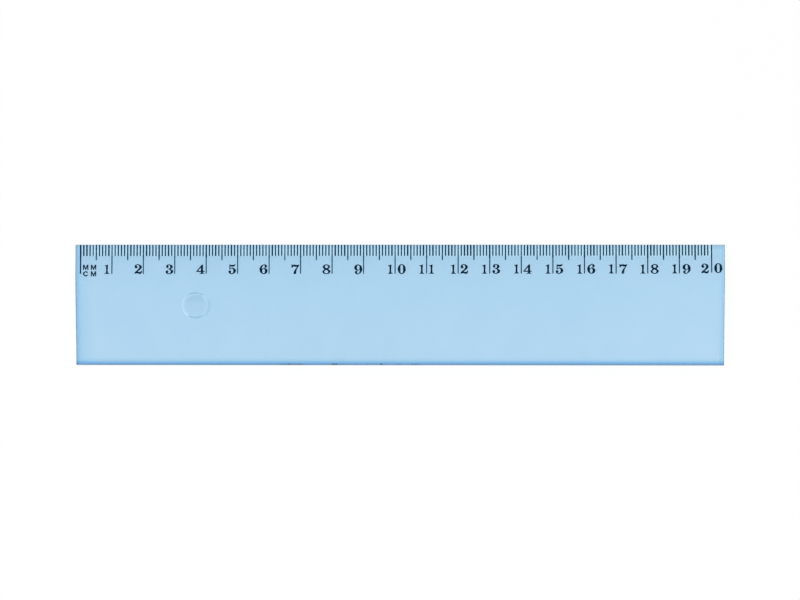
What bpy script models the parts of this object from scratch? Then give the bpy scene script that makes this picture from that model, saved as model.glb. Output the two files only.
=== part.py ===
"""Transparent plastic ruler, twenty centimetres long, with its scale printed along a bevelled edge.

+X runs along the scale from its zero, +Y points at the bevelled edge and +Z leaves the printed
face. The origin is under the middle of the ruler, on the surface that the ruler lies on.
"""

import math

import bmesh
import bpy
from mathutils import Vector

MM = 0.001

# Moulded strip
WIDTH = 38.4 * MM
THICKNESS = 2.2 * MM
EDGE_THICKNESS = 1.0 * MM
ZERO_MARGIN = 1.7 * MM
END_MARGIN = 4.4 * MM
EDGE_ROUND = 0.12 * MM
REAR_ROUND = 0.6 * MM
FOOT_ROUND = 0.15 * MM
CREASE_ROUND = 12 * MM
END_BEVEL = 0.1 * MM

# Witness of the ejector pin, a shallow dish on the middle line of the printed face
EJECTOR_RADIUS = 4.0 * MM
EJECTOR_DEPTH = 0.12 * MM
EJECTOR_WALL = 0.1 * MM
EJECTOR_FROM_ZERO = 36.4 * MM

# Graduations, measured from the bevelled edge
CENTIMETRES = 20
MARKS_PER_CENTIMETRE = 10
MARK_PITCH = 1.0 * MM
MARK_WIDTH = 0.34 * MM
ZERO_MARK_WIDTH = 0.45 * MM
MILLIMETRE_MARK = 3.6 * MM
HALF_MARK = 5.0 * MM
CENTIMETRE_MARK = 9.3 * MM
LAST_MARK_LENGTH = 8.85 * MM
HAIRLINE = 0.05 * MM

# Printed film
INK_THICKNESS = 0.04 * MM
INK_GAP = 0.01 * MM
INK_SPREAD = 0.04 * MM

# The printing runs slightly out of true with the edge and comes nearer to it along the scale
PRINT_SLOPE = 0.00085

# Figures, which stand on the line where the centimetre marks end, before the ink spreads
FIGURE_HEIGHT = 2.9 * MM
FIGURE_TO_MARK = 0.45 * MM
PAIR_TO_MARK = 0.83 * MM

# How far some figures stand off their regular places, along the scale and towards the edge
FIGURE_SHIFTS = {
    "figure_1": (0.11 * MM, 0.03 * MM),
    "figure_2": (0.05 * MM, 0.06 * MM),
    "figure_4": (-0.13 * MM, 0),
    "figure_5": (-0.05 * MM, 0),
    "figure_6": (-0.09 * MM, 0),
    "figure_7": (-0.02 * MM, -0.04 * MM),
    "figure_8": (-0.12 * MM, -0.05 * MM),
    "figure_9": (0, -0.08 * MM),
    "figure_10_tens": (0.03 * MM, 0),
    "figure_12_units": (-0.12 * MM, 0),
    "figure_13_tens": (-0.12 * MM, 0),
    "figure_13_units": (0.03 * MM, 0.05 * MM),
    "figure_14_tens": (0.02 * MM, 0.07 * MM),
    "figure_14_units": (-0.13 * MM, 0),
    "figure_15_units": (0.07 * MM, 0),
    "figure_16_tens": (0.03 * MM, 0),
    "figure_16_units": (0.02 * MM, 0.06 * MM),
    "figure_17_tens": (0.02 * MM, 0.06 * MM),
    "figure_17_units": (0.17 * MM, 0),
    "figure_18_units": (0.07 * MM, 0),
    "figure_19_tens": (0.05 * MM, 0.06 * MM),
    "figure_19_units": (0.15 * MM, 0),
    "figure_20_tens": (0.07 * MM, 0.1 * MM),
    "figure_20_units": (0.18 * MM, 0.24 * MM),
}

# Unit letters beside the zero mark, in two rows
LETTER_HEIGHT = 1.55 * MM
LETTER_TO_MARK = 0.8 * MM
LETTER_PITCH = 2.5 * MM
LETTER_ROW_GAP = 0.53 * MM
LETTER_DROP = 0.75 * MM

# The bevel reaches past the lower row of letters
BEVEL_PAST_LETTERS = 1.4 * MM
BEVEL_WIDTH = CENTIMETRE_MARK + LETTER_DROP + BEVEL_PAST_LETTERS

SCALE_LENGTH = CENTIMETRES * MARKS_PER_CENTIMETRE * MARK_PITCH
LENGTH = ZERO_MARGIN + SCALE_LENGTH + END_MARGIN
BEVEL_ANGLE = math.atan((THICKNESS - EDGE_THICKNESS) / BEVEL_WIDTH)

ARC_STEPS = 4
EJECTOR_STEPS = 64
GLYPH_STEPS = 4

# Outlines of the figures as shares of the figure's height: each contour is a closed run of points,
# and a curve passes smoothly through every point that isn't sharp
SOFT = "AUTO"
SHARP = "VECTOR"
FIGURE_SHARES = {
    "0": [
        [(0.43, 1.03, SOFT), (0.86, 0.5, SOFT), (0.43, -0.03, SOFT), (0, 0.5, SOFT)],
        [(0.43, 0.96, SOFT), (0.28, 0.5, SOFT), (0.43, 0.04, SOFT), (0.58, 0.5, SOFT)],
    ],
    "1": [
        [
            (0.345, 1, SHARP),
            (0.345, 0.14, SOFT),
            (0.4, 0.07, SOFT),
            (0.49, 0.055, SHARP),
            (0.49, 0, SHARP),
            (0, 0, SHARP),
            (0, 0.055, SHARP),
            (0.09, 0.07, SOFT),
            (0.13, 0.14, SOFT),
            (0.13, 0.78, SOFT),
            (0.09, 0.84, SOFT),
            (0, 0.86, SHARP),
            (0, 0.91, SHARP),
            (0.16, 0.93, SOFT),
            (0.28, 1, SHARP),
        ],
    ],
    "2": [
        [
            (0.02, 0.74, SOFT),
            (0.12, 0.95, SOFT),
            (0.4, 1.03, SOFT),
            (0.79, 0.74, SOFT),
            (0.62, 0.46, SOFT),
            (0.24, 0.2, SHARP),
            (0.36, 0.23, SOFT),
            (0.6, 0.17, SOFT),
            (0.75, 0.31, SHARP),
            (0.81, 0.31, SHARP),
            (0.78, 0.09, SOFT),
            (0.62, -0.02, SOFT),
            (0.28, 0.05, SOFT),
            (0.06, 0, SHARP),
            (0, 0, SHARP),
            (0.06, 0.16, SOFT),
            (0.4, 0.48, SOFT),
            (0.53, 0.76, SOFT),
            (0.38, 0.96, SOFT),
            (0.22, 0.91, SOFT),
            (0.32, 0.72, SOFT),
            (0.17, 0.58, SOFT),
        ],
    ],
    "3": [
        [
            (0.05, 0.78, SOFT),
            (0.14, 0.96, SOFT),
            (0.38, 1.03, SOFT),
            (0.76, 0.77, SOFT),
            (0.54, 0.53, SHARP),
            (0.82, 0.26, SOFT),
            (0.38, -0.03, SOFT),
            (0.1, 0.05, SOFT),
            (0, 0.22, SOFT),
            (0.14, 0.37, SOFT),
            (0.28, 0.22, SOFT),
            (0.22, 0.1, SOFT),
            (0.37, 0.04, SOFT),
            (0.55, 0.27, SOFT),
            (0.37, 0.49, SOFT),
            (0.24, 0.49, SHARP),
            (0.24, 0.55, SHARP),
            (0.37, 0.56, SOFT),
            (0.5, 0.77, SOFT),
            (0.37, 0.96, SOFT),
            (0.25, 0.9, SOFT),
            (0.31, 0.78, SOFT),
            (0.18, 0.65, SOFT),
        ],
    ],
    "4": [
        [
            (0.7, 1, SHARP),
            (0.7, 0.31, SHARP),
            (0.86, 0.31, SHARP),
            (0.86, 0.21, SHARP),
            (0.7, 0.21, SHARP),
            (0.7, 0.055, SHARP),
            (0.84, 0.055, SHARP),
            (0.84, 0, SHARP),
            (0.34, 0, SHARP),
            (0.34, 0.055, SHARP),
            (0.48, 0.055, SHARP),
            (0.48, 0.21, SHARP),
            (0, 0.21, SHARP),
            (0, 0.31, SHARP),
            (0.57, 1, SHARP),
        ],
        [(0.48, 0.31, SHARP), (0.13, 0.31, SHARP), (0.48, 0.73, SHARP)],
    ],
    "5": [
        [
            (0.1, 1.01, SHARP),
            (0.4, 0.96, SOFT),
            (0.7, 1.02, SHARP),
            (0.75, 1.02, SHARP),
            (0.64, 0.84, SOFT),
            (0.4, 0.79, SOFT),
            (0.18, 0.82, SHARP),
            (0.18, 0.57, SHARP),
            (0.43, 0.66, SOFT),
            (0.8, 0.33, SOFT),
            (0.37, -0.03, SOFT),
            (0.1, 0.05, SOFT),
            (0, 0.21, SOFT),
            (0.14, 0.36, SOFT),
            (0.28, 0.22, SOFT),
            (0.22, 0.1, SOFT),
            (0.36, 0.04, SOFT),
            (0.53, 0.32, SOFT),
            (0.36, 0.59, SOFT),
            (0.16, 0.46, SHARP),
            (0.1, 0.46, SHARP),
        ],
    ],
    "6": [
        [
            (0.8, 0.8, SOFT),
            (0.71, 0.97, SOFT),
            (0.5, 1.03, SOFT),
            (0, 0.48, SOFT),
            (0.42, -0.03, SOFT),
            (0.87, 0.31, SOFT),
            (0.5, 0.64, SOFT),
            (0.28, 0.55, SOFT),
            (0.31, 0.8, SOFT),
            (0.5, 0.96, SOFT),
            (0.59, 0.92, SOFT),
            (0.54, 0.79, SOFT),
            (0.67, 0.67, SOFT),
        ],
        [(0.44, 0.56, SOFT), (0.29, 0.3, SOFT), (0.44, 0.04, SOFT), (0.59, 0.3, SOFT)],
    ],
    "7": [
        [
            (0.02, 1.02, SHARP),
            (0.07, 1.02, SHARP),
            (0.16, 0.98, SOFT),
            (0.34, 1.01, SOFT),
            (0.62, 0.97, SOFT),
            (0.84, 1, SHARP),
            (0.84, 0.91, SHARP),
            (0.59, 0.5, SOFT),
            (0.5, 0, SHARP),
            (0.23, 0, SHARP),
            (0.34, 0.36, SOFT),
            (0.66, 0.78, SHARP),
            (0.46, 0.78, SOFT),
            (0.26, 0.83, SOFT),
            (0.08, 0.68, SHARP),
            (0.02, 0.68, SHARP),
        ],
    ],
    "8": [
        [
            (0.43, 1.03, SOFT),
            (0.82, 0.77, SOFT),
            (0.66, 0.54, SOFT),
            (0.87, 0.27, SOFT),
            (0.43, -0.03, SOFT),
            (0, 0.25, SOFT),
            (0.18, 0.5, SOFT),
            (0.04, 0.76, SOFT),
        ],
        [(0.43, 0.96, SOFT), (0.26, 0.8, SOFT), (0.46, 0.62, SOFT), (0.62, 0.78, SOFT)],
        [(0.38, 0.43, SOFT), (0.2, 0.24, SOFT), (0.43, 0.04, SOFT), (0.64, 0.2, SOFT)],
    ],
}

# Outlines of the unit letters as shares of the letter's height
LETTER_SHARES = {
    "M": [
        [
            (0, 0, SHARP),
            (0, 1, SHARP),
            (0.25, 1, SHARP),
            (0.53, 0.33, SHARP),
            (0.81, 1, SHARP),
            (1.06, 1, SHARP),
            (1.06, 0, SHARP),
            (0.88, 0, SHARP),
            (0.88, 0.7, SHARP),
            (0.6, 0, SHARP),
            (0.46, 0, SHARP),
            (0.18, 0.7, SHARP),
            (0.18, 0, SHARP),
        ],
    ],
    "C": [
        [
            (1, 0.74, SHARP),
            (0.8, 0.65, SHARP),
            (0.7, 0.77, SOFT),
            (0.53, 0.82, SOFT),
            (0.24, 0.5, SOFT),
            (0.53, 0.18, SOFT),
            (0.7, 0.23, SOFT),
            (0.8, 0.35, SHARP),
            (1, 0.26, SHARP),
            (0.82, 0.06, SOFT),
            (0.53, -0.02, SOFT),
            (0, 0.5, SOFT),
            (0.53, 1.02, SOFT),
            (0.82, 0.94, SOFT),
        ],
    ],
}


def clear_scene():
    for old in list(bpy.data.objects):
        bpy.data.objects.remove(old)


def new_material(name, color, roughness, transmission):
    material = bpy.data.materials.new(name)
    material.use_nodes = True
    shader = material.node_tree.nodes["Principled BSDF"]
    shader.inputs["Base Color"].default_value = (*color, 1)
    shader.inputs["Metallic"].default_value = 0
    shader.inputs["Roughness"].default_value = roughness
    shader.inputs["Transmission Weight"].default_value = transmission
    return material


def blue_plastic():
    return new_material("blue_plastic", (0.43, 0.67, 0.87), 0.12, 0.6)


def navy_ink():
    return new_material("navy_ink", (0.003, 0.019, 0.04), 0.45, 0)


def new_object(name, data, parent=None):
    made = bpy.data.objects.new(name, data)
    made.parent = parent
    bpy.context.scene.collection.objects.link(made)
    return made


def rounded_outline(corners):
    """The outline through the (corner, radius) pairs, with an arc in place of each corner."""
    outline = []
    for index, (corner, radius) in enumerate(corners):
        before = (corners[index - 1][0] - corner).normalized()
        after = (corners[(index + 1) % len(corners)][0] - corner).normalized()
        half_angle = before.angle(after) / 2
        centre = corner + (before + after).normalized() * (radius / math.sin(half_angle))
        reach = radius / math.tan(half_angle)
        first = (corner + before * reach - centre).normalized()
        last = (corner + after * reach - centre).normalized()
        for step in range(ARC_STEPS + 1):
            outline.append(centre + first.slerp(last, step / ARC_STEPS) * radius)
    return outline


def strip_section():
    """Cross-section of the strip in Y and Z: flat back, thick rear edge and long low bevel."""
    front = WIDTH / 2
    return rounded_outline(
        [
            (Vector((-front, 0)), FOOT_ROUND),
            (Vector((front, 0)), EDGE_ROUND),
            (Vector((front, EDGE_THICKNESS)), EDGE_ROUND),
            (Vector((front - BEVEL_WIDTH, THICKNESS)), CREASE_ROUND),
            (Vector((-front, THICKNESS)), REAR_ROUND),
        ]
    )


def strip_mesh():
    shape = bmesh.new()
    section = strip_section()
    left = [shape.verts.new((-LENGTH / 2, y, z)) for y, z in section]
    cap = shape.faces.new(left)
    extruded = bmesh.ops.extrude_face_region(shape, geom=[cap])
    moved = [item for item in extruded["geom"] if isinstance(item, bmesh.types.BMVert)]
    bmesh.ops.translate(shape, verts=moved, vec=(LENGTH, 0, 0))
    bmesh.ops.recalc_face_normals(shape, faces=shape.faces)
    mesh = bpy.data.meshes.new("ruler_body")
    shape.to_mesh(mesh)
    shape.free()
    return mesh


def ejector_cutter():
    """Dish that the ejector pin leaves, with a sloping wall, carried up past the printed face."""
    slope = EJECTOR_WALL / EJECTOR_DEPTH
    shape = bmesh.new()
    bmesh.ops.create_cone(
        shape,
        cap_ends=True,
        segments=EJECTOR_STEPS,
        radius1=EJECTOR_RADIUS - EJECTOR_WALL,
        radius2=EJECTOR_RADIUS + EJECTOR_DEPTH * slope,
        depth=2 * EJECTOR_DEPTH,
    )
    mesh = bpy.data.meshes.new("ejector_cutter")
    shape.to_mesh(mesh)
    shape.free()
    cutter = new_object("ejector_cutter", mesh)
    cutter.location = (zero_x() + EJECTOR_FROM_ZERO, 0, THICKNESS)
    cutter.hide_render = True
    cutter.display_type = "WIRE"
    return cutter


def zero_x():
    return ZERO_MARGIN - LENGTH / 2


def make_strip(plastic):
    strip = new_object("ruler_body", strip_mesh())
    strip.data.materials.append(plastic)
    ends = strip.modifiers.new("end_bevel", "BEVEL")
    ends.width = END_BEVEL
    ends.segments = 2
    ends.limit_method = "ANGLE"
    ends.angle_limit = math.radians(60)
    dish = strip.modifiers.new("ejector_dish", "BOOLEAN")
    dish.operation = "DIFFERENCE"
    dish.solver = "EXACT"
    dish.object = ejector_cutter()
    strip.data.shade_smooth()
    strip.data.set_sharp_from_angle(angle=math.radians(30))
    return strip


def scale_plane(strip):
    """Empty on the bevel at the zero mark: its X runs along the scale and its -Y up the bevel."""
    plane = new_object("scale_plane", None, strip)
    plane.location = (zero_x(), WIDTH / 2, EDGE_THICKNESS)
    plane.rotation_euler.x = -BEVEL_ANGLE
    return plane


def film(name, contours, size, ink, spread=0):
    """Filled flat curve as thick as the ink, from contours in shares of the given size."""
    curve = bpy.data.curves.new(name, "CURVE")
    curve.dimensions = "2D"
    curve.fill_mode = "BOTH"
    curve.resolution_u = GLYPH_STEPS
    curve.extrude = INK_THICKNESS / 2
    curve.offset = spread
    curve.materials.append(ink)
    for contour in contours:
        spline = curve.splines.new("BEZIER")
        spline.bezier_points.add(len(contour) - 1)
        spline.use_cyclic_u = True
        for point, (x, y, handle) in zip(spline.bezier_points, contour):
            point.co = (x * size, y * size, 0)
            point.handle_left_type = handle
            point.handle_right_type = handle
    return curve


def print_rise(x):
    """How much nearer to the edge the printing is at a place along the scale."""
    return x * PRINT_SLOPE


def lay_on_bevel(name, curve, plane, x, y):
    """Puts a printed piece on the bevel, with its own zero at x and y there."""
    piece = new_object(name, curve, plane)
    piece.location = (x, y, INK_GAP + INK_THICKNESS / 2)
    return piece


def mark_end(number):
    """Where a mark ends on the bevel, in the Y of the scale plane."""
    if number == CENTIMETRES * MARKS_PER_CENTIMETRE:
        return -LAST_MARK_LENGTH
    length = MILLIMETRE_MARK
    if number % MARKS_PER_CENTIMETRE == 0:
        length = CENTIMETRE_MARK
    elif 2 * number % MARKS_PER_CENTIMETRE == 0:
        length = HALF_MARK
    return print_rise(number * MARK_PITCH) - length


def mark_sides(number):
    middle = number * MARK_PITCH
    return middle - MARK_WIDTH / 2, middle + MARK_WIDTH / 2


def zero_contour():
    left = -ZERO_MARK_WIDTH / 2
    right = ZERO_MARK_WIDTH / 2
    end = mark_end(0)
    corners = [(left, -EDGE_ROUND), (right, -EDGE_ROUND), (right, end), (left, end)]
    return [(x, y, SHARP) for x, y in corners]


def centimetre_contour(numbers):
    """The marks of one centimetre, held together by a hairline of ink along the edge."""
    hairline = -EDGE_ROUND - HAIRLINE
    first, _ = mark_sides(numbers[0])
    _, last = mark_sides(numbers[-1])
    corners = [(last, -EDGE_ROUND), (first, -EDGE_ROUND)]
    for number in numbers:
        left, right = mark_sides(number)
        end = mark_end(number)
        corners += [(left, hairline), (left, end), (right, end), (right, hairline)]
    # The outer marks have no hairline beyond them
    corners.pop(2)
    corners.pop()
    return [(x, y, SHARP) for x, y in corners]


def make_graduations(plane, ink):
    zero = film("graduation_zero", [zero_contour()], 1, ink)
    lay_on_bevel("graduation_zero", zero, plane, 0, 0)
    for centimetre in range(CENTIMETRES):
        name = f"graduations_{centimetre + 1:02d}"
        first = centimetre * MARKS_PER_CENTIMETRE + 1
        numbers = range(first, first + MARKS_PER_CENTIMETRE)
        marks = film(name, [centimetre_contour(numbers)], 1, ink)
        lay_on_bevel(name, marks, plane, 0, 0)


def figure_outlines():
    """Contours of each figure, in shares: the nine is the six turned half round in its own box."""
    outlines = dict(FIGURE_SHARES)
    width_share = outline_width(outlines["6"])
    outlines["9"] = [[(width_share - x, 1 - y, handle) for x, y, handle in run] for run in outlines["6"]]
    return outlines


def outline_width(contours):
    return max(x for x, _, _ in contours[0])


def lay_figure(name, curve, plane, x):
    """Puts a figure on the line where the centimetre marks end, with its own shift from there."""
    along, up = FIGURE_SHIFTS.get(name, (0, 0))
    lay_on_bevel(name, curve, plane, x + along, print_rise(x) + up - CENTIMETRE_MARK)


def make_figures(plane, ink):
    """One figure left of its mark up to nine, and from ten on a pair with the mark between them."""
    outlines = figure_outlines()
    curves = {}
    widths = {}
    for figure, contours in outlines.items():
        curves[figure] = film(f"figure_{figure}", contours, FIGURE_HEIGHT, ink, INK_SPREAD)
        widths[figure] = outline_width(contours) * FIGURE_HEIGHT
    # A lone figure stands in the middle of a space as wide as the nought
    lone_middle = FIGURE_TO_MARK + widths["0"] / 2
    for centimetre in range(1, CENTIMETRES + 1):
        mark = centimetre * MARKS_PER_CENTIMETRE * MARK_PITCH
        figures = str(centimetre)
        if len(figures) == 1:
            x = mark - lone_middle - widths[figures] / 2
            lay_figure(f"figure_{figures}", curves[figures], plane, x)
            continue
        tens, units = figures
        lay_figure(f"figure_{figures}_tens", curves[tens], plane, mark - PAIR_TO_MARK - widths[tens])
        lay_figure(f"figure_{figures}_units", curves[units], plane, mark + PAIR_TO_MARK)


def make_letters(plane, ink):
    lower = -CENTIMETRE_MARK - LETTER_DROP
    upper = lower + LETTER_HEIGHT + LETTER_ROW_GAP
    curves = {}
    for letter, contours in LETTER_SHARES.items():
        curves[letter] = film(f"letter_{letter}", contours, LETTER_HEIGHT, ink, INK_SPREAD)
    for row, letters, y in (("upper", "MM", upper), ("lower", "CM", lower)):
        for column, letter in enumerate(letters):
            x = LETTER_TO_MARK + column * LETTER_PITCH
            lay_on_bevel(f"letter_{row}_{column + 1}", curves[letter], plane, x, y)


def main():
    clear_scene()
    ink = navy_ink()
    strip = make_strip(blue_plastic())
    plane = scale_plane(strip)
    make_graduations(plane, ink)
    make_figures(plane, ink)
    make_letters(plane, ink)


main()
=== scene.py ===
"""Looks of the transparent blue plastic ruler: its moulded strip, printed scale, floor, light and camera."""

import math

import bmesh
import bpy
from mathutils import Matrix, Vector, noise


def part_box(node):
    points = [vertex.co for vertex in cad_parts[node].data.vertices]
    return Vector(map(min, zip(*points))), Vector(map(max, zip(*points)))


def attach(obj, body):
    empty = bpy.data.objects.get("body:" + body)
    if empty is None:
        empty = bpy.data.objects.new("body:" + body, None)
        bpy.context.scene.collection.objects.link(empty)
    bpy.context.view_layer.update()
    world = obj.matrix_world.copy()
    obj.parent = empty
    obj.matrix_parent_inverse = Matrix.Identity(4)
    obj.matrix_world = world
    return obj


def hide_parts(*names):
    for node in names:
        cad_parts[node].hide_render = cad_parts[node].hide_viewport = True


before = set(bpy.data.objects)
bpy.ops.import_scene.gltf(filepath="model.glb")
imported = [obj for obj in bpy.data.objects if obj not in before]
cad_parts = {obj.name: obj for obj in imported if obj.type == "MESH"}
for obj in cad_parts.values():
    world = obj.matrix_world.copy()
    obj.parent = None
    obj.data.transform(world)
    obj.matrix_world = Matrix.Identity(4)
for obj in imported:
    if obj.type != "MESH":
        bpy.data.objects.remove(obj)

MM = 0.001

# Strip, as in the solid that it stands for, but with more steps in its rounds and with eased ends
EDGE_THICKNESS = 1.0 * MM
BEVEL_WIDTH = 11.45 * MM
EDGE_ROUND = 0.12 * MM
REAR_ROUND = 0.6 * MM
FOOT_ROUND = 0.15 * MM
CREASE_ROUND = 12 * MM
END_ROUND = 0.1 * MM
ARC_STEPS = 10
END_STEPS = 4
WALL_STEPS = 6
STATION_PITCH = 5 * MM
SHARP_ANGLE = math.radians(40)

# Ejector pin's mark: a shallow dish with a soft lip
EJECTOR_RADIUS = 4.0 * MM
EJECTOR_DEPTH = 0.12 * MM
EJECTOR_WALL = 0.1 * MM
EJECTOR_FROM_ZERO = 36.4 * MM
EJECTOR_STEPS = 128

# Chips along the rear edge: place along the ruler and half length in millimetres, and how deep, from 0 to 1
CHIPS = (
    (-37.5, 0.22, 0.65),
    (-36.3, 0.3, 0.7),
    (-35.1, 0.32, 0.85),
    (-34.1, 0.22, 0.7),
    (-33.0, 0.22, 0.65),
    (-32.1, 0.25, 0.8),
    (-31.1, 0.22, 0.8),
    (-22.3, 0.2, 0.45),
    (-21.1, 0.36, 1.0),
    (-20.1, 0.34, 1.0),
    (-19.1, 0.2, 0.5),
    (-18.0, 0.25, 0.55),
    (-13.3, 0.35, 0.35),
    (-10.0, 0.25, 0.4),
    (-7.9, 0.2, 0.35),
    (-5.8, 0.32, 0.9),
    (-0.9, 0.2, 0.45),
    (0.1, 0.25, 0.6),
    (4.1, 0.25, 0.75),
    (5.3, 0.25, 0.75),
    (6.4, 0.2, 0.5),
    (14.7, 0.2, 0.35),
)
CHIP_DEPTH = 0.04 * MM
CHIP_STEPS = 5

# Chips keep their depth as far in from the rear wall as CHIP_INNER, and run out at CHIP_REACH
CHIP_INNER = 0.52 * MM
CHIP_REACH = 0.72 * MM

# Lines of the printed scale, numbered in millimetres from zero
MARKS_PER_CENTIMETRE = 10
MARK_PITCH = 1.0 * MM
LAST_MARK = 200
MILLIMETRE_MARK = 3.64 * MM
HALF_MARK = 5.0 * MM
CENTIMETRE_MARK = 9.3 * MM
LAST_MARK_LENGTH = 8.85 * MM
PRINT_SLOPE = 0.00085

# The longer lines narrow to FAR_WIDTH past the ends of the millimetre lines
MARK_WIDTH = 0.41 * MM
FAR_WIDTH = 0.37 * MM
ZERO_MARK_WIDTH = 0.45 * MM
MARK_CORNER = 0.04 * MM

# The print lies a little towards the zero end, but its last line a little past its place
MARK_DRIFT = -0.025 * MM
LAST_MARK_DRIFT = 0.17 * MM

# Small differences between the lines, and lines that came out clearly bolder or finer than the others
MARK_WOBBLE = 0.01 * MM
WOBBLE_PITCH = 0.6 * MM
MARK_SPREAD = 0.025 * MM
BOLD_EXTRA = 0.08 * MM
BOLD_MARKS = (0, 1, 2, 9, 16, 21, 25, 28, 40, 43, 48, 61, 81, 84, 99, 104, 109, 112, 117, 118, 122, 123)
BOLD_MARKS += (124, 125, 130, 142, 144, 150, 155, 160, 162, 163, 168, 172, 180, 181, 182, 185, 190, 193)
BOLD_MARKS += (195, 198)
FINE_LOSS = 0.06 * MM
FINE_MARKS = (4, 10, 11, 52, 59, 65, 80, 100, 106, 113, 120, 126, 134, 139, 140, 145, 149, 158, 159, 161)
FINE_MARKS += (164, 173, 174, 179, 183)

# Ink: a thin film just off the plastic. It spread round the figures and letters when it was pressed on.
INK_THICKNESS = 0.02 * MM
INK_GAP = 0.005 * MM
INK_SPREAD = 0.04 * MM
FIGURE_HEIGHT = 2.9 * MM
LETTER_HEIGHT = 1.55 * MM
EDGE_STEPS = 3
GLYPH_STEPS = 10

# Corners of a figure or letter that lie nearer together than this are one
WELD = 0.0001 * MM

# Past the ends of the millimetre lines, the longer lines' ink gets paler over FADE_LENGTH. It does so
# fully up to FADE_FROM along the ruler, and then less and less, down to the share FADE_LEAST at FADE_TO.
FADE_LENGTH = 0.8 * MM
FADE_FROM = -5 * MM
FADE_TO = 58 * MM
FADE_LEAST = 0.1

# Camera: half a metre above the ruler and a little past its printed edge, so not quite square to it
CAMERA_PLACE = (5.756 * MM, 33.644 * MM, 500 * MM)
CAMERA_TURNS = (-3.673, 0.64, -0.02)
CAMERA_LENS = 70.75

# Red, green and blue light that the dye lets through the full thickness, the share of light that isn't
# scattered at the surface, and how strongly the plastic bends light
DYE_SHARES = (0.8, 0.955, 0.985)
CLEAR_SHARE = 0.9
PLASTIC_IOR = 1.5

# How far in from each side of the ruler the painted shade of that edge reaches
REAR_BAND = 2.4 * MM
FRONT_BAND = 30 * MM
LEFT_BAND = 7 * MM
RIGHT_BAND = 4 * MM

# Painted light makes the band between the lines paler: palest within PALEST_BAND of the edge, and it ends
# gradually
PALEST_BAND = 2 * MM
PAINTED_LIGHT_BLUR = 0.2 * MM

# Floor, of which a share glows by itself to the eye
FLOOR_HALF = 3.0
FLOOR_DROP = 0.05 * MM
FLOOR_GLOW = 0.93

# Light: how strong it is from all round, and the lamp's place, size and power
SOFT_LIGHT = 0.7
KEY_PLACE = (-0.75, -0.45, 0.85)
KEY_SIZE = (0.9, 0.6)
KEY_POWER = 8.2

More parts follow.
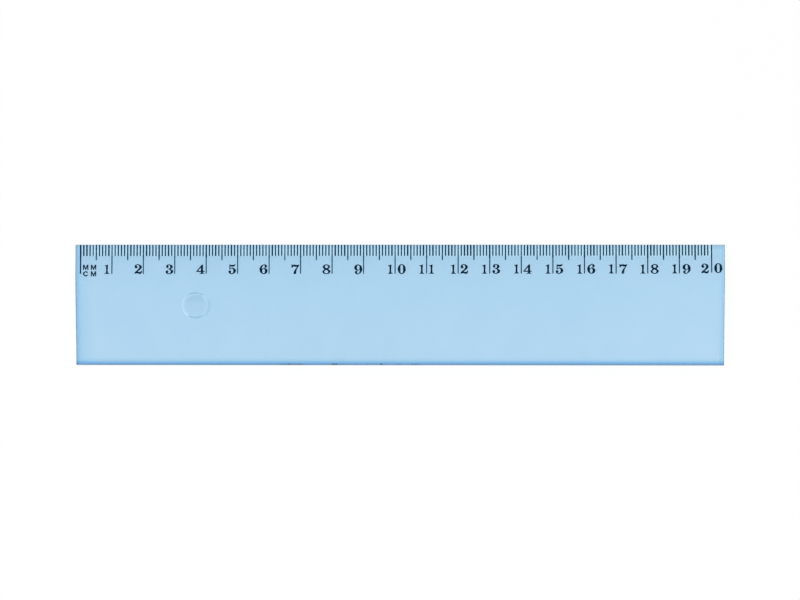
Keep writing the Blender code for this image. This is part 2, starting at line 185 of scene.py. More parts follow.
# Outlines of the figures as shares of the figure's height: each contour is a closed run of points,
# and a curve passes smoothly through every point that isn't sharp
SOFT = "AUTO"
SHARP = "VECTOR"
FIGURE_SHARES = {
    "0": [
        [(0.43, 1.03, SOFT), (0.86, 0.5, SOFT), (0.43, -0.03, SOFT), (0, 0.5, SOFT)],
        [(0.43, 0.96, SOFT), (0.28, 0.5, SOFT), (0.43, 0.04, SOFT), (0.58, 0.5, SOFT)],
    ],
    "1": [
        [
            (0.345, 1, SHARP),
            (0.345, 0.14, SOFT),
            (0.4, 0.07, SOFT),
            (0.49, 0.055, SHARP),
            (0.49, 0, SHARP),
            (0, 0, SHARP),
            (0, 0.055, SHARP),
            (0.09, 0.07, SOFT),
            (0.13, 0.14, SOFT),
            (0.13, 0.78, SOFT),
            (0.09, 0.84, SOFT),
            (0, 0.86, SHARP),
            (0, 0.91, SHARP),
            (0.16, 0.93, SOFT),
            (0.28, 1, SHARP),
        ],
    ],
    "2": [
        [
            (0.02, 0.74, SOFT),
            (0.12, 0.95, SOFT),
            (0.4, 1.03, SOFT),
            (0.79, 0.74, SOFT),
            (0.62, 0.46, SOFT),
            (0.24, 0.2, SHARP),
            (0.36, 0.23, SOFT),
            (0.6, 0.17, SOFT),
            (0.75, 0.31, SHARP),
            (0.81, 0.31, SHARP),
            (0.78, 0.09, SOFT),
            (0.62, -0.02, SOFT),
            (0.28, 0.05, SOFT),
            (0.06, 0, SHARP),
            (0, 0, SHARP),
            (0.06, 0.16, SOFT),
            (0.4, 0.48, SOFT),
            (0.53, 0.76, SOFT),
            (0.38, 0.96, SOFT),
            (0.22, 0.91, SOFT),
            (0.32, 0.72, SOFT),
            (0.17, 0.58, SOFT),
        ],
    ],
    "3": [
        [
            (0.05, 0.78, SOFT),
            (0.14, 0.96, SOFT),
            (0.38, 1.03, SOFT),
            (0.76, 0.77, SOFT),
            (0.54, 0.53, SHARP),
            (0.82, 0.26, SOFT),
            (0.38, -0.03, SOFT),
            (0.1, 0.05, SOFT),
            (0, 0.22, SOFT),
            (0.14, 0.37, SOFT),
            (0.28, 0.22, SOFT),
            (0.22, 0.1, SOFT),
            (0.37, 0.04, SOFT),
            (0.55, 0.27, SOFT),
            (0.37, 0.49, SOFT),
            (0.24, 0.49, SHARP),
            (0.24, 0.55, SHARP),
            (0.37, 0.56, SOFT),
            (0.5, 0.77, SOFT),
            (0.37, 0.96, SOFT),
            (0.25, 0.9, SOFT),
            (0.31, 0.78, SOFT),
            (0.18, 0.65, SOFT),
        ],
    ],
    "4": [
        [
            (0.7, 1, SHARP),
            (0.7, 0.31, SHARP),
            (0.86, 0.31, SHARP),
            (0.86, 0.21, SHARP),
            (0.7, 0.21, SHARP),
            (0.7, 0.055, SHARP),
            (0.84, 0.055, SHARP),
            (0.84, 0, SHARP),
            (0.34, 0, SHARP),
            (0.34, 0.055, SHARP),
            (0.48, 0.055, SHARP),
            (0.48, 0.21, SHARP),
            (0, 0.21, SHARP),
            (0, 0.31, SHARP),
            (0.57, 1, SHARP),
        ],
        [(0.48, 0.31, SHARP), (0.13, 0.31, SHARP), (0.48, 0.73, SHARP)],
    ],
    "5": [
        [
            (0.1, 1.01, SHARP),
            (0.4, 0.96, SOFT),
            (0.7, 1.02, SHARP),
            (0.75, 1.02, SHARP),
            (0.64, 0.84, SOFT),
            (0.4, 0.79, SOFT),
            (0.18, 0.82, SHARP),
            (0.18, 0.57, SHARP),
            (0.43, 0.66, SOFT),
            (0.8, 0.33, SOFT),
            (0.37, -0.03, SOFT),
            (0.1, 0.05, SOFT),
            (0, 0.21, SOFT),
            (0.14, 0.36, SOFT),
            (0.28, 0.22, SOFT),
            (0.22, 0.1, SOFT),
            (0.36, 0.04, SOFT),
            (0.53, 0.32, SOFT),
            (0.36, 0.59, SOFT),
            (0.16, 0.46, SHARP),
            (0.1, 0.46, SHARP),
        ],
    ],
    "6": [
        [
            (0.8, 0.8, SOFT),
            (0.71, 0.97, SOFT),
            (0.5, 1.03, SOFT),
            (0, 0.48, SOFT),
            (0.42, -0.03, SOFT),
            (0.87, 0.31, SOFT),
            (0.5, 0.64, SOFT),
            (0.28, 0.55, SOFT),
            (0.31, 0.8, SOFT),
            (0.5, 0.96, SOFT),
            (0.59, 0.92, SOFT),
            (0.54, 0.79, SOFT),
            (0.67, 0.67, SOFT),
        ],
        [(0.44, 0.56, SOFT), (0.29, 0.3, SOFT), (0.44, 0.04, SOFT), (0.59, 0.3, SOFT)],
    ],
    "7": [
        [
            (0.02, 1.02, SHARP),
            (0.07, 1.02, SHARP),
            (0.16, 0.98, SOFT),
            (0.34, 1.01, SOFT),
            (0.62, 0.97, SOFT),
            (0.84, 1, SHARP),
            (0.84, 0.91, SHARP),
            (0.59, 0.5, SOFT),
            (0.5, 0, SHARP),
            (0.23, 0, SHARP),
            (0.34, 0.36, SOFT),
            (0.66, 0.78, SHARP),
            (0.46, 0.78, SOFT),
            (0.26, 0.83, SOFT),
            (0.08, 0.68, SHARP),
            (0.02, 0.68, SHARP),
        ],
    ],
    "8": [
        [
            (0.43, 1.03, SOFT),
            (0.82, 0.77, SOFT),
            (0.66, 0.54, SOFT),
            (0.87, 0.27, SOFT),
            (0.43, -0.03, SOFT),
            (0, 0.25, SOFT),
            (0.18, 0.5, SOFT),
            (0.04, 0.76, SOFT),
        ],
        [(0.43, 0.96, SOFT), (0.26, 0.8, SOFT), (0.46, 0.62, SOFT), (0.62, 0.78, SOFT)],
        [(0.38, 0.43, SOFT), (0.2, 0.24, SOFT), (0.43, 0.04, SOFT), (0.64, 0.2, SOFT)],
    ],
}

# Outlines of the unit letters as shares of the letter's height
LETTER_SHARES = {
    "M": [
        [
            (0, 0, SHARP),
            (0, 1, SHARP),
            (0.25, 1, SHARP),
            (0.53, 0.33, SHARP),
            (0.81, 1, SHARP),
            (1.06, 1, SHARP),
            (1.06, 0, SHARP),
            (0.88, 0, SHARP),
            (0.88, 0.7, SHARP),
            (0.6, 0, SHARP),
            (0.46, 0, SHARP),
            (0.18, 0.7, SHARP),
            (0.18, 0, SHARP),
        ],
    ],
    "C": [
        [
            (1, 0.74, SHARP),
            (0.8, 0.65, SHARP),
            (0.7, 0.77, SOFT),
            (0.53, 0.82, SOFT),
            (0.24, 0.5, SOFT),
            (0.53, 0.18, SOFT),
            (0.7, 0.23, SOFT),
            (0.8, 0.35, SHARP),
            (1, 0.26, SHARP),
            (0.82, 0.06, SOFT),
            (0.53, -0.02, SOFT),
            (0, 0.5, SOFT),
            (0.53, 1.02, SOFT),
            (0.82, 0.94, SOFT),
        ],
    ],
}

LOW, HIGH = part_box("ruler_body")
LENGTH = HIGH.x - LOW.x
THICKNESS = HIGH.z
ZERO_LOW, ZERO_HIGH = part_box("graduation_zero")
ZERO_X = (ZERO_LOW.x + ZERO_HIGH.x) / 2
SCALE_END = ZERO_X + LAST_MARK * MARK_PITCH
BEVEL_ANGLE = math.atan((THICKNESS - EDGE_THICKNESS) / BEVEL_WIDTH)
BEVEL_PLANE = Matrix.Translation((ZERO_X, HIGH.y, EDGE_THICKNESS)) @ Matrix.Rotation(-BEVEL_ANGLE, 4, "X")

# Where the millimetre lines end
BAND_END = HIGH.y - MILLIMETRE_MARK

# Where the round of the edge starts, back from its corner, and how far round it the lines run
EDGE_REACH = EDGE_ROUND / math.tan(math.radians(45) + BEVEL_ANGLE / 2)
EDGE_WRAP = EDGE_ROUND * math.radians(45)

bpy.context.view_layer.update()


def add_object(name, data):
    made = bpy.data.objects.new(name, data)
    bpy.context.scene.collection.objects.link(made)
    return made


def add_piece(name, mesh, material, slot, *nodes):
    """A visible piece of the object, in the place of the CAD nodes named."""
    piece = add_object(name, mesh)
    mesh.materials.clear()
    mesh.materials.append(material)
    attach(piece, "root")
    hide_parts(*nodes)
    return piece


class Nodes:
    """Short ways to add nodes to the tree of a material or a world."""

    def __init__(self, tree):
        self.tree = tree
        tree.nodes.clear()

    def add(self, kind, **settings):
        node = self.tree.nodes.new(kind)
        for key, value in settings.items():
            setattr(node, key, value)
        return node

    def put(self, socket, value):
        if isinstance(value, bpy.types.NodeSocket):
            self.tree.links.new(value, socket)
        else:
            socket.default_value = value

    def split(self, vector):
        node = self.add("ShaderNodeSeparateXYZ")
        self.put(node.inputs[0], vector)
        return node.outputs

    def math(self, operation, first, second=0.0):
        node = self.add("ShaderNodeMath", operation=operation)
        self.put(node.inputs[0], first)
        self.put(node.inputs[1], second)
        return node.outputs[0]

    def span(self, value, low, high, to_low=0.0, to_high=1.0):
        """value, moved from the range low to high to another one and held within it."""
        node = self.add("ShaderNodeMapRange")
        for socket, given in zip(node.inputs, (value, low, high, to_low, to_high)):
            self.put(socket, given)
        return node.outputs[0]

    def ramp(self, value, *stops):
        node = self.add("ShaderNodeValToRGB")
        elements = node.color_ramp.elements
        while len(elements) < len(stops):
            elements.new(1.0)
        for element, (place, color) in zip(elements, stops):
            element.position = place
            element.color = (*color, 1)
        self.put(node.inputs[0], value)
        return node.outputs[0]

    def mix(self, blend, share, first, second):
        node = self.add("ShaderNodeMix", data_type="RGBA", blend_type=blend)
        self.put(node.inputs[0], share)
        for socket, value in ((node.inputs[6], first), (node.inputs[7], second)):
            self.put(socket, (*value, 1) if isinstance(value, tuple) else value)
        return node.outputs[2]

    def mapping(self, vector, scale, turn=0.0, offset=(0, 0, 0)):
        node = self.add("ShaderNodeMapping")
        self.put(node.inputs["Vector"], vector)
        node.inputs["Scale"].default_value = scale
        node.inputs["Rotation"].default_value = (0, 0, turn)
        node.inputs["Location"].default_value = offset
        return node.outputs[0]

    def noise(self, vector, scale, detail=2.0, roughness=0.5):
        node = self.add("ShaderNodeTexNoise")
        self.put(node.inputs["Vector"], vector)
        node.inputs["Scale"].default_value = scale
        node.inputs["Detail"].default_value = detail
        node.inputs["Roughness"].default_value = roughness
        return node.outputs[0]

    def bump(self, height, distance, normal=None):
        node = self.add("ShaderNodeBump")
        node.inputs["Strength"].default_value = 1.0
        node.inputs["Distance"].default_value = distance
        self.put(node.inputs["Height"], height)
        if normal is not None:
            self.put(node.inputs["Normal"], normal)
        return node.outputs[0]

    def mix_shader(self, share, first, second):
        node = self.add("ShaderNodeMixShader")
        for socket, value in zip(node.inputs, (share, first, second)):
            self.put(socket, value)
        return node.outputs[0]

    def seen(self):
        """1 for what the camera sees, straight, mirrored or through something clear."""
        path = self.add("ShaderNodeLightPath").outputs
        mirrored = self.math("MAXIMUM", path["Is Camera Ray"], path["Is Glossy Ray"])
        return self.math("MAXIMUM", mirrored, path["Is Transmission Ray"])


def new_material(name):
    material = bpy.data.materials.new(name)
    material.use_nodes = True
    return material, Nodes(material.node_tree)


def scratches(nodes, vector, turn, offset):
    """1 along sparse hairline scratches that run about one way, and 0 elsewhere."""
    stretched = nodes.mapping(vector, (60, 2500, 2500), turn, offset)
    ridge = nodes.math("ABSOLUTE", nodes.math("SUBTRACT", nodes.noise(stretched, 1.0, 1.0), 0.5))
    line = nodes.span(ridge, 0.0, 0.012, 1.0, 0.0)
    patches = nodes.noise(nodes.mapping(vector, (120, 120, 120), 0.0, offset), 1.0, 1.0)
    return nodes.math("MULTIPLY", line, nodes.span(patches, 0.52, 0.6))


def painted_edge_shade_and_tint(nodes, x, y, upward):
    """Tint of the plastic, with painted shade that deepens towards the edges, where the light leaves
    sideways, and painted light between the lines.
    """
    # Painted shade along the rear edge, darkest right at the edge
    rear = nodes.ramp(
        nodes.span(y, LOW.y, LOW.y + REAR_BAND),
        (0.0, (0.14, 0.15, 0.14)),
        (0.12, (0.34, 0.39, 0.46)),
        (0.24, (0.42, 0.6, 0.8)),
        (0.4, (0.55, 0.78, 0.97)),
        (0.65, (0.85, 0.95, 0.985)),
        (1.0, (1.0, 1.0, 1.0)),
    )
    # The painted shade is left off the rear wall itself, which is clear
    wall = nodes.span(nodes.math("ABSOLUTE", upward), 0.15, 0.3, 1.0, 0.0)
    rear = nodes.mix("MIX", wall, rear, (0.93, 0.97, 0.99))
    # Painted shade along the front edge, deepest at the edge
    front = nodes.ramp(
        nodes.span(y, HIGH.y, HIGH.y - FRONT_BAND),
        (0.0, (0.75, 0.78, 0.75)),
        (0.03, (0.78, 0.88, 0.91)),
        (0.06, (0.9, 0.985, 0.995)),
        (0.12, (0.885, 0.945, 0.95)),
        (0.2, (0.94, 0.965, 0.98)),
        (0.5, (0.964, 0.984, 0.99)),
        (1.0, (1.0, 0.998, 0.997)),
    )
    # Painted shade at the left and right ends, deepest at each end
    left = nodes.ramp(
        nodes.span(x, LOW.x, LOW.x + LEFT_BAND),
        (0.0, (0.69, 0.79, 0.82)),
        (0.08, (0.68, 0.81, 0.91)),
        (0.16, (0.79, 0.92, 0.985)),
        (0.3, (0.91, 0.96, 0.98)),
        (1.0, (1.0, 1.0, 1.0)),
    )
    right = nodes.ramp(
        nodes.span(x, HIGH.x, HIGH.x - RIGHT_BAND),
        (0.0, (0.92, 0.9, 0.89)),
        (0.14, (0.79, 0.92, 0.98)),
        (0.25, (0.83, 0.945, 0.99)),
        (0.4, (0.98, 0.983, 0.985)),
        (1.0, (1.0, 1.0, 1.0)),
    )
    # The bevel is thinner, but its colour is as deep to the eye as the rest
    bevel = nodes.ramp(
        nodes.span(y, HIGH.y - BEVEL_WIDTH, HIGH.y),
        (0.0, (1.0, 1.0, 1.0)),
        (1.0, (0.886, 0.964, 0.992)),
    )
    # Towards the right end, the colour is a little paler
    along = nodes.ramp(
        nodes.span(x, LOW.x, HIGH.x),
        (0.0, (0.98, 0.973, 0.979)),
        (0.35, (0.973, 0.978, 0.982)),
        (0.57, (0.984, 0.986, 0.986)),
        (0.78, (0.99, 0.993, 0.995)),
        (0.89, (1.02, 1.01, 1.006)),
    )
    # Between its lines, the bevel is painted paler than the plastic, as painted light
    painted_light_mask = nodes.span(y, BAND_END - PAINTED_LIGHT_BLUR, BAND_END + PAINTED_LIGHT_BLUR)
    for inside, outside in ((ZERO_X, ZERO_X - MARK_PITCH), (SCALE_END, SCALE_END + MARK_PITCH)):
        painted_light_mask = nodes.math("MULTIPLY", painted_light_mask, nodes.span(x, outside, inside))
    palest = nodes.span(y, HIGH.y, HIGH.y - PALEST_BAND)
    pale = nodes.mix("MIX", palest, (1.36, 1.26, 1.2), (1.18, 1.15, 1.12))
    # Painted light over the band between the lines
    printed = nodes.mix("MIX", painted_light_mask, (1.0, 1.0, 1.0), pale)
    # At the front corners, the deeper of the two edges' painted shades counts
    tint = nodes.mix("DARKEN", 1.0, nodes.mix("DARKEN", 1.0, front, left), right)
    for band in (rear, along, bevel, printed):
        tint = nodes.mix("MULTIPLY", 1.0, tint, band)
    return tint


def dish_painted_light_and_shade(nodes, x, y):
    """Painted light and shade of the ejector's dish: painted shade on its floor and on its lip in front and
    behind, faint painted shade just outside it on the right, and a painted highlight on the left, as if lit
    from there.
    """
    across = nodes.math("SUBTRACT", x, ZERO_X + EJECTOR_FROM_ZERO)
    squares = nodes.math("ADD", nodes.math("MULTIPLY", across, across), nodes.math("MULTIPLY", y, y))
    reach = nodes.math("SQRT", squares)
    # Painted shade over the dish's floor, deepest towards the front
    floor = nodes.span(reach, EJECTOR_RADIUS - 0.5 * MM, EJECTOR_RADIUS - 1.0 * MM)
    floor = nodes.math("MULTIPLY", floor, nodes.span(y, 0.4 * MM, 1.8 * MM, 0.45, 1.0))
    tint = nodes.mix("MIX", floor, (1.0, 1.0, 1.0), (0.88, 0.915, 0.935))
    # Arcs of painted shade and painted highlight on the lip: radius, half width, the way the arc faces in
    # degrees, the cosine at its ends from there, and tint
    for radius, half, turn, start, color in (
        (EJECTOR_RADIUS - 0.12 * MM, 0.28 * MM, 87, 0.75, (0.6, 0.74, 0.8)),
        (EJECTOR_RADIUS, 0.36 * MM, 271, 0.79, (0.66, 0.79, 0.84)),
        (EJECTOR_RADIUS + 0.12 * MM, 0.36 * MM, 191, 0.62, (1.2, 1.13, 1.1)),
        (EJECTOR_RADIUS + 0.5 * MM, 0.5 * MM, 350, 0.72, (0.89, 0.92, 0.94)),
    ):
        turn = math.radians(turn)
        forward = nodes.math("MULTIPLY", y, math.sin(turn))
        toward = nodes.math("ADD", nodes.math("MULTIPLY", across, math.cos(turn)), forward)
        stretch = nodes.span(nodes.math("DIVIDE", toward, reach), start, (1 + start) / 2)
        off = nodes.math("ABSOLUTE", nodes.math("SUBTRACT", reach, radius))
        band = nodes.span(off, half / 4, half, 1.0, 0.0)
        tint = nodes.mix("MIX", nodes.math("MULTIPLY", band, stretch), tint, color)
    return tint


def blue_plastic():
    material, nodes = new_material("clear_blue_plastic")
    place = nodes.add("ShaderNodeTexCoord").outputs["Object"]
    x, y, _ = nodes.split(place)
    _, _, upward = nodes.split(nodes.add("ShaderNodeTexCoord").outputs["Normal"])
    # Painted shade towards the edges and painted light between the lines, with the plastic's own tints
    tint = painted_edge_shade_and_tint(nodes, x, y, upward)
    mottle = nodes.ramp(
        nodes.noise(place, 90.0, 5.0, 0.7), (0.3, (0.634, 0.798, 0.963)), (0.7, (0.664, 0.82, 0.977))
    )
    tint = nodes.mix("MULTIPLY", 1.0, tint, mottle)
    # Painted light and shade at the ejector's dish
    tint = nodes.mix("MULTIPLY", 1.0, tint, dish_painted_light_and_shade(nodes, x, y))
    # Chips look dark
    wear = nodes.add("ShaderNodeAttribute", attribute_name="wear").outputs["Fac"]
    tint = nodes.mix("MIX", nodes.span(wear, 0.1, 0.7), tint, (0.0003, 0.003, 0.01))

    # Hairline scratches, finger marks and the faint waves of a moulded face
    scratch = scratches(nodes, place, 0.12, (3.1, 0.7, 0.2))
    for turn, offset in ((-0.5, (1.7, 5.2, 0.4)), (1.2, (7.3, 2.9, 0.6))):
        scratch = nodes.math("MAXIMUM", scratch, scratches(nodes, place, turn, offset))
    smudge = nodes.span(nodes.noise(place, 45.0, 4.0, 0.6), 0.35, 0.75, 0.03, 0.11)
    rubbed = nodes.math("ADD", nodes.math("MULTIPLY", scratch, 0.18), nodes.math("MULTIPLY", wear, 0.35))
    waves = nodes.bump(nodes.noise(place, 160.0, 1.0), 0.006 * MM)
    grooves = nodes.bump(nodes.math("MULTIPLY", scratch, -1.0), 0.002 * MM, waves)

    shader = nodes.add("ShaderNodeBsdfPrincipled")
    nodes.put(shader.inputs["Base Color"], tint)
    nodes.put(shader.inputs["Roughness"], nodes.math("ADD", smudge, rubbed))
    nodes.put(shader.inputs["Normal"], grooves)
    shader.inputs["Transmission Weight"].default_value = CLEAR_SHARE
    shader.inputs["IOR"].default_value = PLASTIC_IOR

    # Lamps and soft light reach what is under the plastic
    path = nodes.add("ShaderNodeLightPath").outputs
    clear = nodes.add("ShaderNodeBsdfTransparent")
    nodes.put(clear.inputs[0], tint)
    surface = nodes.mix_shader(path["Is Shadow Ray"], shader.outputs[0], clear.outputs[0])
    surface = nodes.mix_shader(path["Is Diffuse Ray"], surface, clear.outputs[0])
    dye = nodes.add("ShaderNodeVolumeAbsorption")
    depths = [-math.log(share) / THICKNESS for share in DYE_SHARES]
    dye.inputs["Density"].default_value = max(depths)
    dye.inputs["Color"].default_value = (*[1 - depth / max(depths) for depth in depths], 1)
    output = nodes.add("ShaderNodeOutputMaterial")
    nodes.put(output.inputs["Surface"], surface)
    nodes.put(output.inputs["Volume"], dye.outputs[0])
    return material


def navy_ink(name, dark, pale, faded=None):
    """Satin ink, cloudy between two colours, with grains where it is thin.

    Where a faded colour is given, it is that of the longer lines past the ends of the millimetre lines.
    """
    material, nodes = new_material(name)
    place = nodes.add("ShaderNodeTexCoord").outputs["Object"]
    cloud = nodes.noise(place, 350.0, 2.0)
    grain = nodes.noise(place, 9000.0, 2.0, 0.7)
    color = nodes.ramp(cloud, (0.3, dark), (0.7, pale))
    if faded:
        x, y, _ = nodes.split(place)
        share = nodes.span(y, BAND_END, BAND_END - FADE_LENGTH)
        # The zero line isn't faded
        past_zero = nodes.span(x, ZERO_X + MARK_PITCH, ZERO_X + 3 * MARK_PITCH)
        share = nodes.math("MULTIPLY", share, past_zero)
        share = nodes.math("MULTIPLY", share, nodes.span(x, FADE_FROM, FADE_TO, 1.0, FADE_LEAST))
        color = nodes.mix("MIX", share, color, faded)
    thin = nodes.span(grain, 0.68, 0.78, 0.0, 0.5)
    shader = nodes.add("ShaderNodeBsdfPrincipled")
    nodes.put(shader.inputs["Base Color"], nodes.mix("MIX", thin, color, (0.02, 0.07, 0.13)))
    nodes.put(shader.inputs["Roughness"], nodes.span(cloud, 0.3, 0.7, 0.14, 0.22))
    shader.inputs["Specular IOR Level"].default_value = 0.25
    nodes.put(shader.inputs["Normal"], nodes.bump(grain, 0.002 * MM))
    output = nodes.add("ShaderNodeOutputMaterial")
    nodes.put(output.inputs["Surface"], shader.outputs[0])
    return material


def rounded_outline(corners):
    """The outline through the (corner, radius) pairs, with an arc in place of each corner."""
    outline = []
    for index, (corner, radius) in enumerate(corners):
        before = (corners[index - 1][0] - corner).normalized()
        after = (corners[(index + 1) % len(corners)][0] - corner).normalized()
        half_angle = before.angle(after) / 2
        centre = corner + (before + after).normalized() * (radius / math.sin(half_angle))
        reach = radius / math.tan(half_angle)
        first = (corner + before * reach - centre).normalized()
        last = (corner + after * reach - centre).normalized()
        for step in range(ARC_STEPS + 1):
            outline.append(centre + first.slerp(last, step / ARC_STEPS) * radius)
    return outline


def strip_section():
    """Cross-section in Y and Z, with extra points round the rear wall for its chips."""
    section = rounded_outline(
        [
            (Vector((LOW.y, 0)), FOOT_ROUND),
            (Vector((HIGH.y, 0)), EDGE_ROUND),
            (Vector((HIGH.y, EDGE_THICKNESS)), EDGE_ROUND),
            (Vector((HIGH.y - BEVEL_WIDTH, THICKNESS)), CREASE_ROUND),
            (Vector((LOW.y, THICKNESS)), REAR_ROUND),
        ]
    )
    top, foot = section[-1], section[0]
    section += [top.lerp(foot, step / WALL_STEPS) for step in range(1, WALL_STEPS)]
    section.insert(4 * (ARC_STEPS + 1), Vector((LOW.y + CHIP_REACH, THICKNESS)))
    section.insert(ARC_STEPS + 1, Vector((LOW.y + CHIP_REACH, 0)))
    return section


def inset(section, distance):
    """The section with each point moved inward, square to the outline there."""
    moved = []
    for index, point in enumerate(section):
        along = (section[(index + 1) % len(section)] - section[index - 1]).normalized()
        moved.append(point + Vector((-along.y, along.x)) * distance)
    return moved


def stations():
    """Places along the ruler where the section is repeated, close together at the chips."""
    end = LENGTH / 2 - END_ROUND
    count = round(2 * end / STATION_PITCH)
    places = {round(-end + 2 * end * step / count, 7) for step in range(count + 1)}
    for middle, half, _ in CHIPS:
        for step in range(-CHIP_STEPS, CHIP_STEPS + 1):
            places.add(round((middle + half * step / CHIP_STEPS) * MM, 7))
    return sorted(places)


def chip(x, y, z):
    """How deep the rear edge is chipped at a place, from 0 to 1: less and less down its wall."""
    deepest = 0.0
    near = min(1.0, max(0.0, (LOW.y + CHIP_REACH - y) / (CHIP_REACH - CHIP_INNER))) * z / THICKNESS
    for middle, half, depth in CHIPS:
        away = abs(x / MM - middle) / half
        if away < 1:
            deepest = max(deepest, depth * near * (1 - away**4))
    return deepest


def strip_rings():
    """Places along the ruler and the section at each, drawn in round both ends."""
    section = strip_section()
    ends = []
    for step in range(END_STEPS):
        turn = math.pi / 2 * step / END_STEPS
        x = LENGTH / 2 - END_ROUND * (1 - math.cos(turn))
        ends.append((x, inset(section, END_ROUND * (1 - math.sin(turn)))))
    rings = [(-x, ring) for x, ring in ends]
    rings += [(x, section) for x in stations()]
    return rings + ends[::-1]


def mesh_of(shape, name):
    """The finished shape as a mesh."""
    mesh = bpy.data.meshes.new(name)
    shape.to_mesh(mesh)
    shape.free()
    return mesh


def skin(shape, rings):
    """Faces from each ring of corners to the next one and over both ends, all turned outward."""
    for low, high in zip(rings, rings[1:]):
        for index, corner in enumerate(low):
            shape.faces.new((low[index - 1], corner, high[index], high[index - 1]))
    shape.faces.new(rings[0][::-1])
    shape.faces.new(rings[-1])
    bmesh.ops.recalc_face_normals(shape, faces=shape.faces)


def strip_mesh():
    shape = bmesh.new()
    rings = []
    for x, ring in strip_rings():
        rings.append([shape.verts.new((x, y + chip(x, y, z) * CHIP_DEPTH, z)) for y, z in ring])
    for left, right in zip(rings, rings[1:]):
        for index, corner in enumerate(left):
            shape.faces.new((corner, right[index], right[index - 1], left[index - 1]))
    shape.faces.new(rings[0])
    shape.faces.new(rings[-1][::-1])
    bmesh.ops.recalc_face_normals(shape, faces=shape.faces)
    return mesh_of(shape, "strip")


def dish_mesh():
    """Closed turned shape that fills the ejector's dish and stands out above it."""
    wall = EJECTOR_WALL
    # Radius and height, from the dish's floor up over its lip
    profile = [
        (EJECTOR_RADIUS - wall, -EJECTOR_DEPTH),
        (EJECTOR_RADIUS - 0.7 * wall, -0.94 * EJECTOR_DEPTH),
        (EJECTOR_RADIUS - 0.45 * wall, -0.75 * EJECTOR_DEPTH),
        (EJECTOR_RADIUS - 0.2 * wall, -0.35 * EJECTOR_DEPTH),
        (EJECTOR_RADIUS, -0.12 * EJECTOR_DEPTH),
        (EJECTOR_RADIUS + 0.3 * wall, 0.0),
        (EJECTOR_RADIUS + 1.3 * wall, 0.35 * EJECTOR_DEPTH),
    ]
    shape = bmesh.new()
    rings = []
    for radius, z in profile:
        ring = []
        for step in range(EJECTOR_STEPS):
            turn = 2 * math.pi * step / EJECTOR_STEPS
            ring.append(shape.verts.new((radius * math.cos(turn), radius * math.sin(turn), z)))
        rings.append(ring)
    skin(shape, rings)
    return mesh_of(shape, "dish")


def make_strip(plastic):
    strip = add_object("strip", strip_mesh())
    dish = add_object("dish", dish_mesh())
    dish.location = (ZERO_X + EJECTOR_FROM_ZERO, 0, THICKNESS)
    cut = strip.modifiers.new("ejector_dish", "BOOLEAN")
    cut.object = dish
    cut.solver = "EXACT"
    mesh = bpy.data.meshes.new_from_object(strip.evaluated_get(bpy.context.evaluated_depsgraph_get()))
    for done in (strip, dish):
        bpy.data.objects.remove(done)
    worn = mesh.attributes.new("wear", "FLOAT", "POINT")
    worn.data.foreach_set("value", [chip(*v.co) for v in mesh.vertices])
    mesh.shade_smooth()
    mesh.set_sharp_from_angle(angle=SHARP_ANGLE)
    piece = add_piece("moulded_strip", mesh, plastic, "blue_plastic", "ruler_body")
    flat = piece.modifiers.new("flat_faces_stay_flat", "WEIGHTED_NORMAL")
    flat.keep_sharp = True


def mark_length(number):
    """Length of a line. The printing isn't quite true with the edge, so lines get shorter from zero on."""
    if number == LAST_MARK:
        return LAST_MARK_LENGTH
    length = MILLIMETRE_MARK
    if number % MARKS_PER_CENTIMETRE == 0:
        length = CENTIMETRE_MARK
    elif 2 * number % MARKS_PER_CENTIMETRE == 0:
        length = HALF_MARK
    return length - number * MARK_PITCH * PRINT_SLOPE


def mark_outline(number):
    """One printed line with soft corners, whose width and sides waver a little as ink does."""
    length = mark_length(number)
    width, far_width = MARK_WIDTH, FAR_WIDTH
    if number == 0:
        width = far_width = ZERO_MARK_WIDTH
    if number in BOLD_MARKS:
        width += BOLD_EXTRA
    if number in FINE_MARKS:
        width -= FINE_LOSS
    spread = noise.noise((number * 2.3, 0.5, 4.5)) * MARK_SPREAD
    places = [EDGE_WRAP * step / EDGE_STEPS for step in range(-EDGE_STEPS, 1)]
    count = round(length / WOBBLE_PITCH)
    flat = length - EDGE_REACH - MARK_CORNER
    places += [flat * step / count for step in range(1, count + 1)]
    sides = []
    for side in (-1, 1):
        side_points = []
        for place in places:
            far = min(1.0, max(0.0, (place - MILLIMETRE_MARK) / WOBBLE_PITCH))
            half = (width + (far_width - width) * far + spread) / 2
            waver = noise.noise((number * 1.7 + side, place / WOBBLE_PITCH, 0.5)) * MARK_WOBBLE
            side_points.append((side * (half + waver), -EDGE_REACH - place))
        side_points.append((side * (half - MARK_CORNER), -length))
        sides.append(side_points)
    middle = number * MARK_PITCH + (LAST_MARK_DRIFT if number == LAST_MARK else MARK_DRIFT)
    return [(middle + x, y) for x, y in sides[0] + sides[1][::-1]]


def film_corner(x, y, height):
    """A point of a film at its height off the surface, which turns down over the round of the edge."""
    turn = max(0.0, (y + EDGE_REACH) / EDGE_ROUND)
    ahead = min(y, -EDGE_REACH) + (EDGE_ROUND + height) * math.sin(turn)
    return x, ahead, (EDGE_ROUND + height) * math.cos(turn) - EDGE_ROUND


def film_mesh(name, outlines):
    """Thin flat films of ink on the bevel, one for each outline in the bevel's own X and Y."""
    shape = bmesh.new()
    for outline in outlines:
        heights = (INK_GAP, INK_GAP + INK_THICKNESS)
        skin(shape, [[shape.verts.new(film_corner(x, y, height)) for x, y in outline] for height in heights])
    bmesh.ops.triangulate(shape, faces=[face for face in shape.faces if len(face.verts) > 4])
    mesh = mesh_of(shape, name)
    mesh.transform(BEVEL_PLANE)
    return mesh


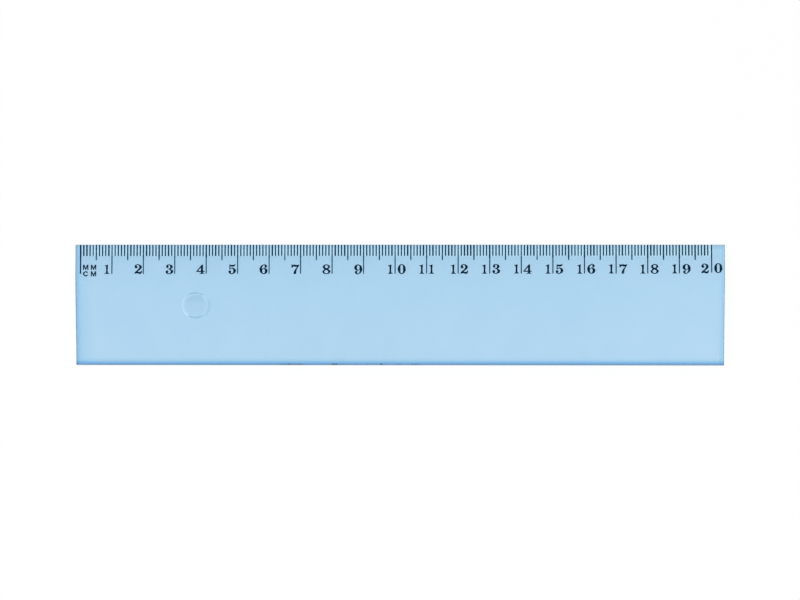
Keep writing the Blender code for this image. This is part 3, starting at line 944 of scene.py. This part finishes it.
def make_marks(ink):
    zero = film_mesh("zero_mark", [mark_outline(0)])
    add_piece("printed_zero_mark", zero, ink, "navy_ink", "graduation_zero")
    nodes = sorted(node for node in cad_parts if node.startswith("graduations_"))
    for centimetre, node in enumerate(nodes):
        first = centimetre * MARKS_PER_CENTIMETRE + 1
        outlines = [mark_outline(number) for number in range(first, first + MARKS_PER_CENTIMETRE)]
        mesh = film_mesh(f"marks_{centimetre + 1:02d}", outlines)
        add_piece(f"printed_marks_{centimetre + 1:02d}", mesh, ink, "navy_ink", node)


def glyph_mesh(contours, height):
    """Filled smooth outline as thick as the ink, in the bevel's own X and Y."""
    curve = bpy.data.curves.new("glyph", "CURVE")
    curve.dimensions = "2D"
    curve.fill_mode = "BOTH"
    curve.resolution_u = GLYPH_STEPS
    curve.render_resolution_u = GLYPH_STEPS
    curve.extrude = INK_THICKNESS / 2
    curve.offset = INK_SPREAD
    for contour in contours:
        spline = curve.splines.new("BEZIER")
        spline.bezier_points.add(len(contour) - 1)
        spline.use_cyclic_u = True
        for point, (x, y, handle) in zip(spline.bezier_points, contour):
            point.co = (x * height, y * height, 0)
            point.handle_left_type = handle
            point.handle_right_type = handle
    drawn = add_object("glyph", curve)
    mesh = bpy.data.meshes.new_from_object(drawn.evaluated_get(bpy.context.evaluated_depsgraph_get()))
    bpy.data.objects.remove(drawn)
    shape = bmesh.new()
    shape.from_mesh(mesh)
    bmesh.ops.remove_doubles(shape, verts=shape.verts, dist=WELD)
    bmesh.ops.recalc_face_normals(shape, faces=shape.faces)
    shape.to_mesh(mesh)
    shape.free()
    mesh.transform(Matrix.Translation((0, 0, INK_GAP + INK_THICKNESS / 2)))
    return mesh


def middle_of(points):
    """Middle of the points' box across the bevel, in the bevel's own X and Y."""
    back = BEVEL_PLANE.inverted()
    local = [back @ Vector(point) for point in points]
    spans = [(min(p[axis] for p in local) + max(p[axis] for p in local)) / 2 for axis in (0, 1)]
    return Vector((*spans, 0))


def print_glyph(name, drawn, node, ink):
    """A copy of the drawn glyph, put in the middle of its CAD node's place."""
    mesh = drawn.copy()
    mesh.transform(BEVEL_PLANE)
    there = middle_of(v.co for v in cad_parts[node].data.vertices)
    here = middle_of(v.co for v in mesh.vertices)
    mesh.transform(BEVEL_PLANE @ Matrix.Translation(there - here) @ BEVEL_PLANE.inverted())
    add_piece(name, mesh, ink, "navy_ink", node)


def make_figures_and_letters(ink):
    shares = dict(FIGURE_SHARES)
    width = max(x for x, _, _ in shares["6"][0])
    shares["9"] = [[(width - x, 1 - y, handle) for x, y, handle in run] for run in shares["6"]]
    figures = {figure: glyph_mesh(contours, FIGURE_HEIGHT) for figure, contours in shares.items()}
    letters = {letter: glyph_mesh(contours, LETTER_HEIGHT) for letter, contours in LETTER_SHARES.items()}
    for node in sorted(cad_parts):
        words = node.split("_")
        if words[0] == "figure":
            number = words[1]
            figure = number if len(words) == 2 else number[("tens", "units").index(words[2])]
            print_glyph(f"printed_{node}", figures[figure], node, ink)
        if words[0] == "letter":
            print_glyph(f"printed_{node}", letters["C" if node == "letter_lower_1" else "M"], node, ink)


def make_floor():
    material, nodes = new_material("pale_floor")
    diffuse = nodes.add("ShaderNodeBsdfDiffuse")
    diffuse.inputs[0].default_value = (0.95, 0.95, 0.95, 1)
    white = nodes.add("ShaderNodeEmission")
    share = nodes.math("MULTIPLY", nodes.seen(), FLOOR_GLOW)
    output = nodes.add("ShaderNodeOutputMaterial")
    nodes.put(output.inputs[0], nodes.mix_shader(share, diffuse.outputs[0], white.outputs[0]))
    mesh = bpy.data.meshes.new("floor")
    corners = [(-1, -1), (1, -1), (1, 1), (-1, 1)]
    mesh.from_pydata([(x * FLOOR_HALF, y * FLOOR_HALF, -FLOOR_DROP) for x, y in corners], [], [(0, 1, 2, 3)])
    mesh.materials.append(material)
    add_object("floor", mesh)


def make_world():
    """Soft pale light from all round. What is mirrored from right above is dark, as over a copying stand."""
    world = bpy.data.worlds.new("soft_light")
    bpy.context.scene.world = world
    world.use_nodes = True
    nodes = Nodes(world.node_tree)
    _, _, upward = nodes.split(nodes.add("ShaderNodeTexCoord").outputs["Generated"])
    seen = nodes.add("ShaderNodeBackground")
    nodes.put(
        seen.inputs[0],
        nodes.ramp(upward, (0.55, (1, 1, 1)), (0.75, (0.35, 0.36, 0.37)), (0.92, (0.06, 0.06, 0.065))),
    )
    light = nodes.add("ShaderNodeBackground")
    light.inputs[0].default_value = (0.97, 0.985, 1, 1)
    light.inputs[1].default_value = SOFT_LIGHT
    output = nodes.add("ShaderNodeOutputWorld")
    nodes.put(output.inputs[0], nodes.mix_shader(nodes.seen(), light.outputs[0], seen.outputs[0]))


def make_lamp(name, place, size, power):
    lamp = bpy.data.lights.new(name, "AREA")
    lamp.shape = "RECTANGLE"
    lamp.size, lamp.size_y = size
    lamp.energy = power
    made = add_object(name, lamp)
    made.location = place
    made.rotation_euler = (-Vector(place)).to_track_quat("-Z", "Y").to_euler()


def make_camera():
    camera = bpy.data.cameras.new("camera")
    camera.lens = CAMERA_LENS
    camera.clip_start = 0.01
    made = add_object("camera", camera)
    made.location = CAMERA_PLACE
    made.rotation_euler = [math.radians(turn) for turn in CAMERA_TURNS]
    bpy.context.scene.camera = made


make_camera()
make_strip(blue_plastic())
# The lines hold less ink than the figures, so they are a little bluer
make_marks(navy_ink("navy_ink_of_lines", (0.0, 0.021, 0.068), (0.0003, 0.032, 0.09), (0.001, 0.09, 0.15)))
make_figures_and_letters(navy_ink("navy_ink_of_figures", (0.0003, 0.016, 0.039), (0.0012, 0.023, 0.053)))
make_floor()
make_world()
make_lamp("soft_key", KEY_PLACE, KEY_SIZE, KEY_POWER)
bpy.context.scene.view_settings.view_transform = "Standard"
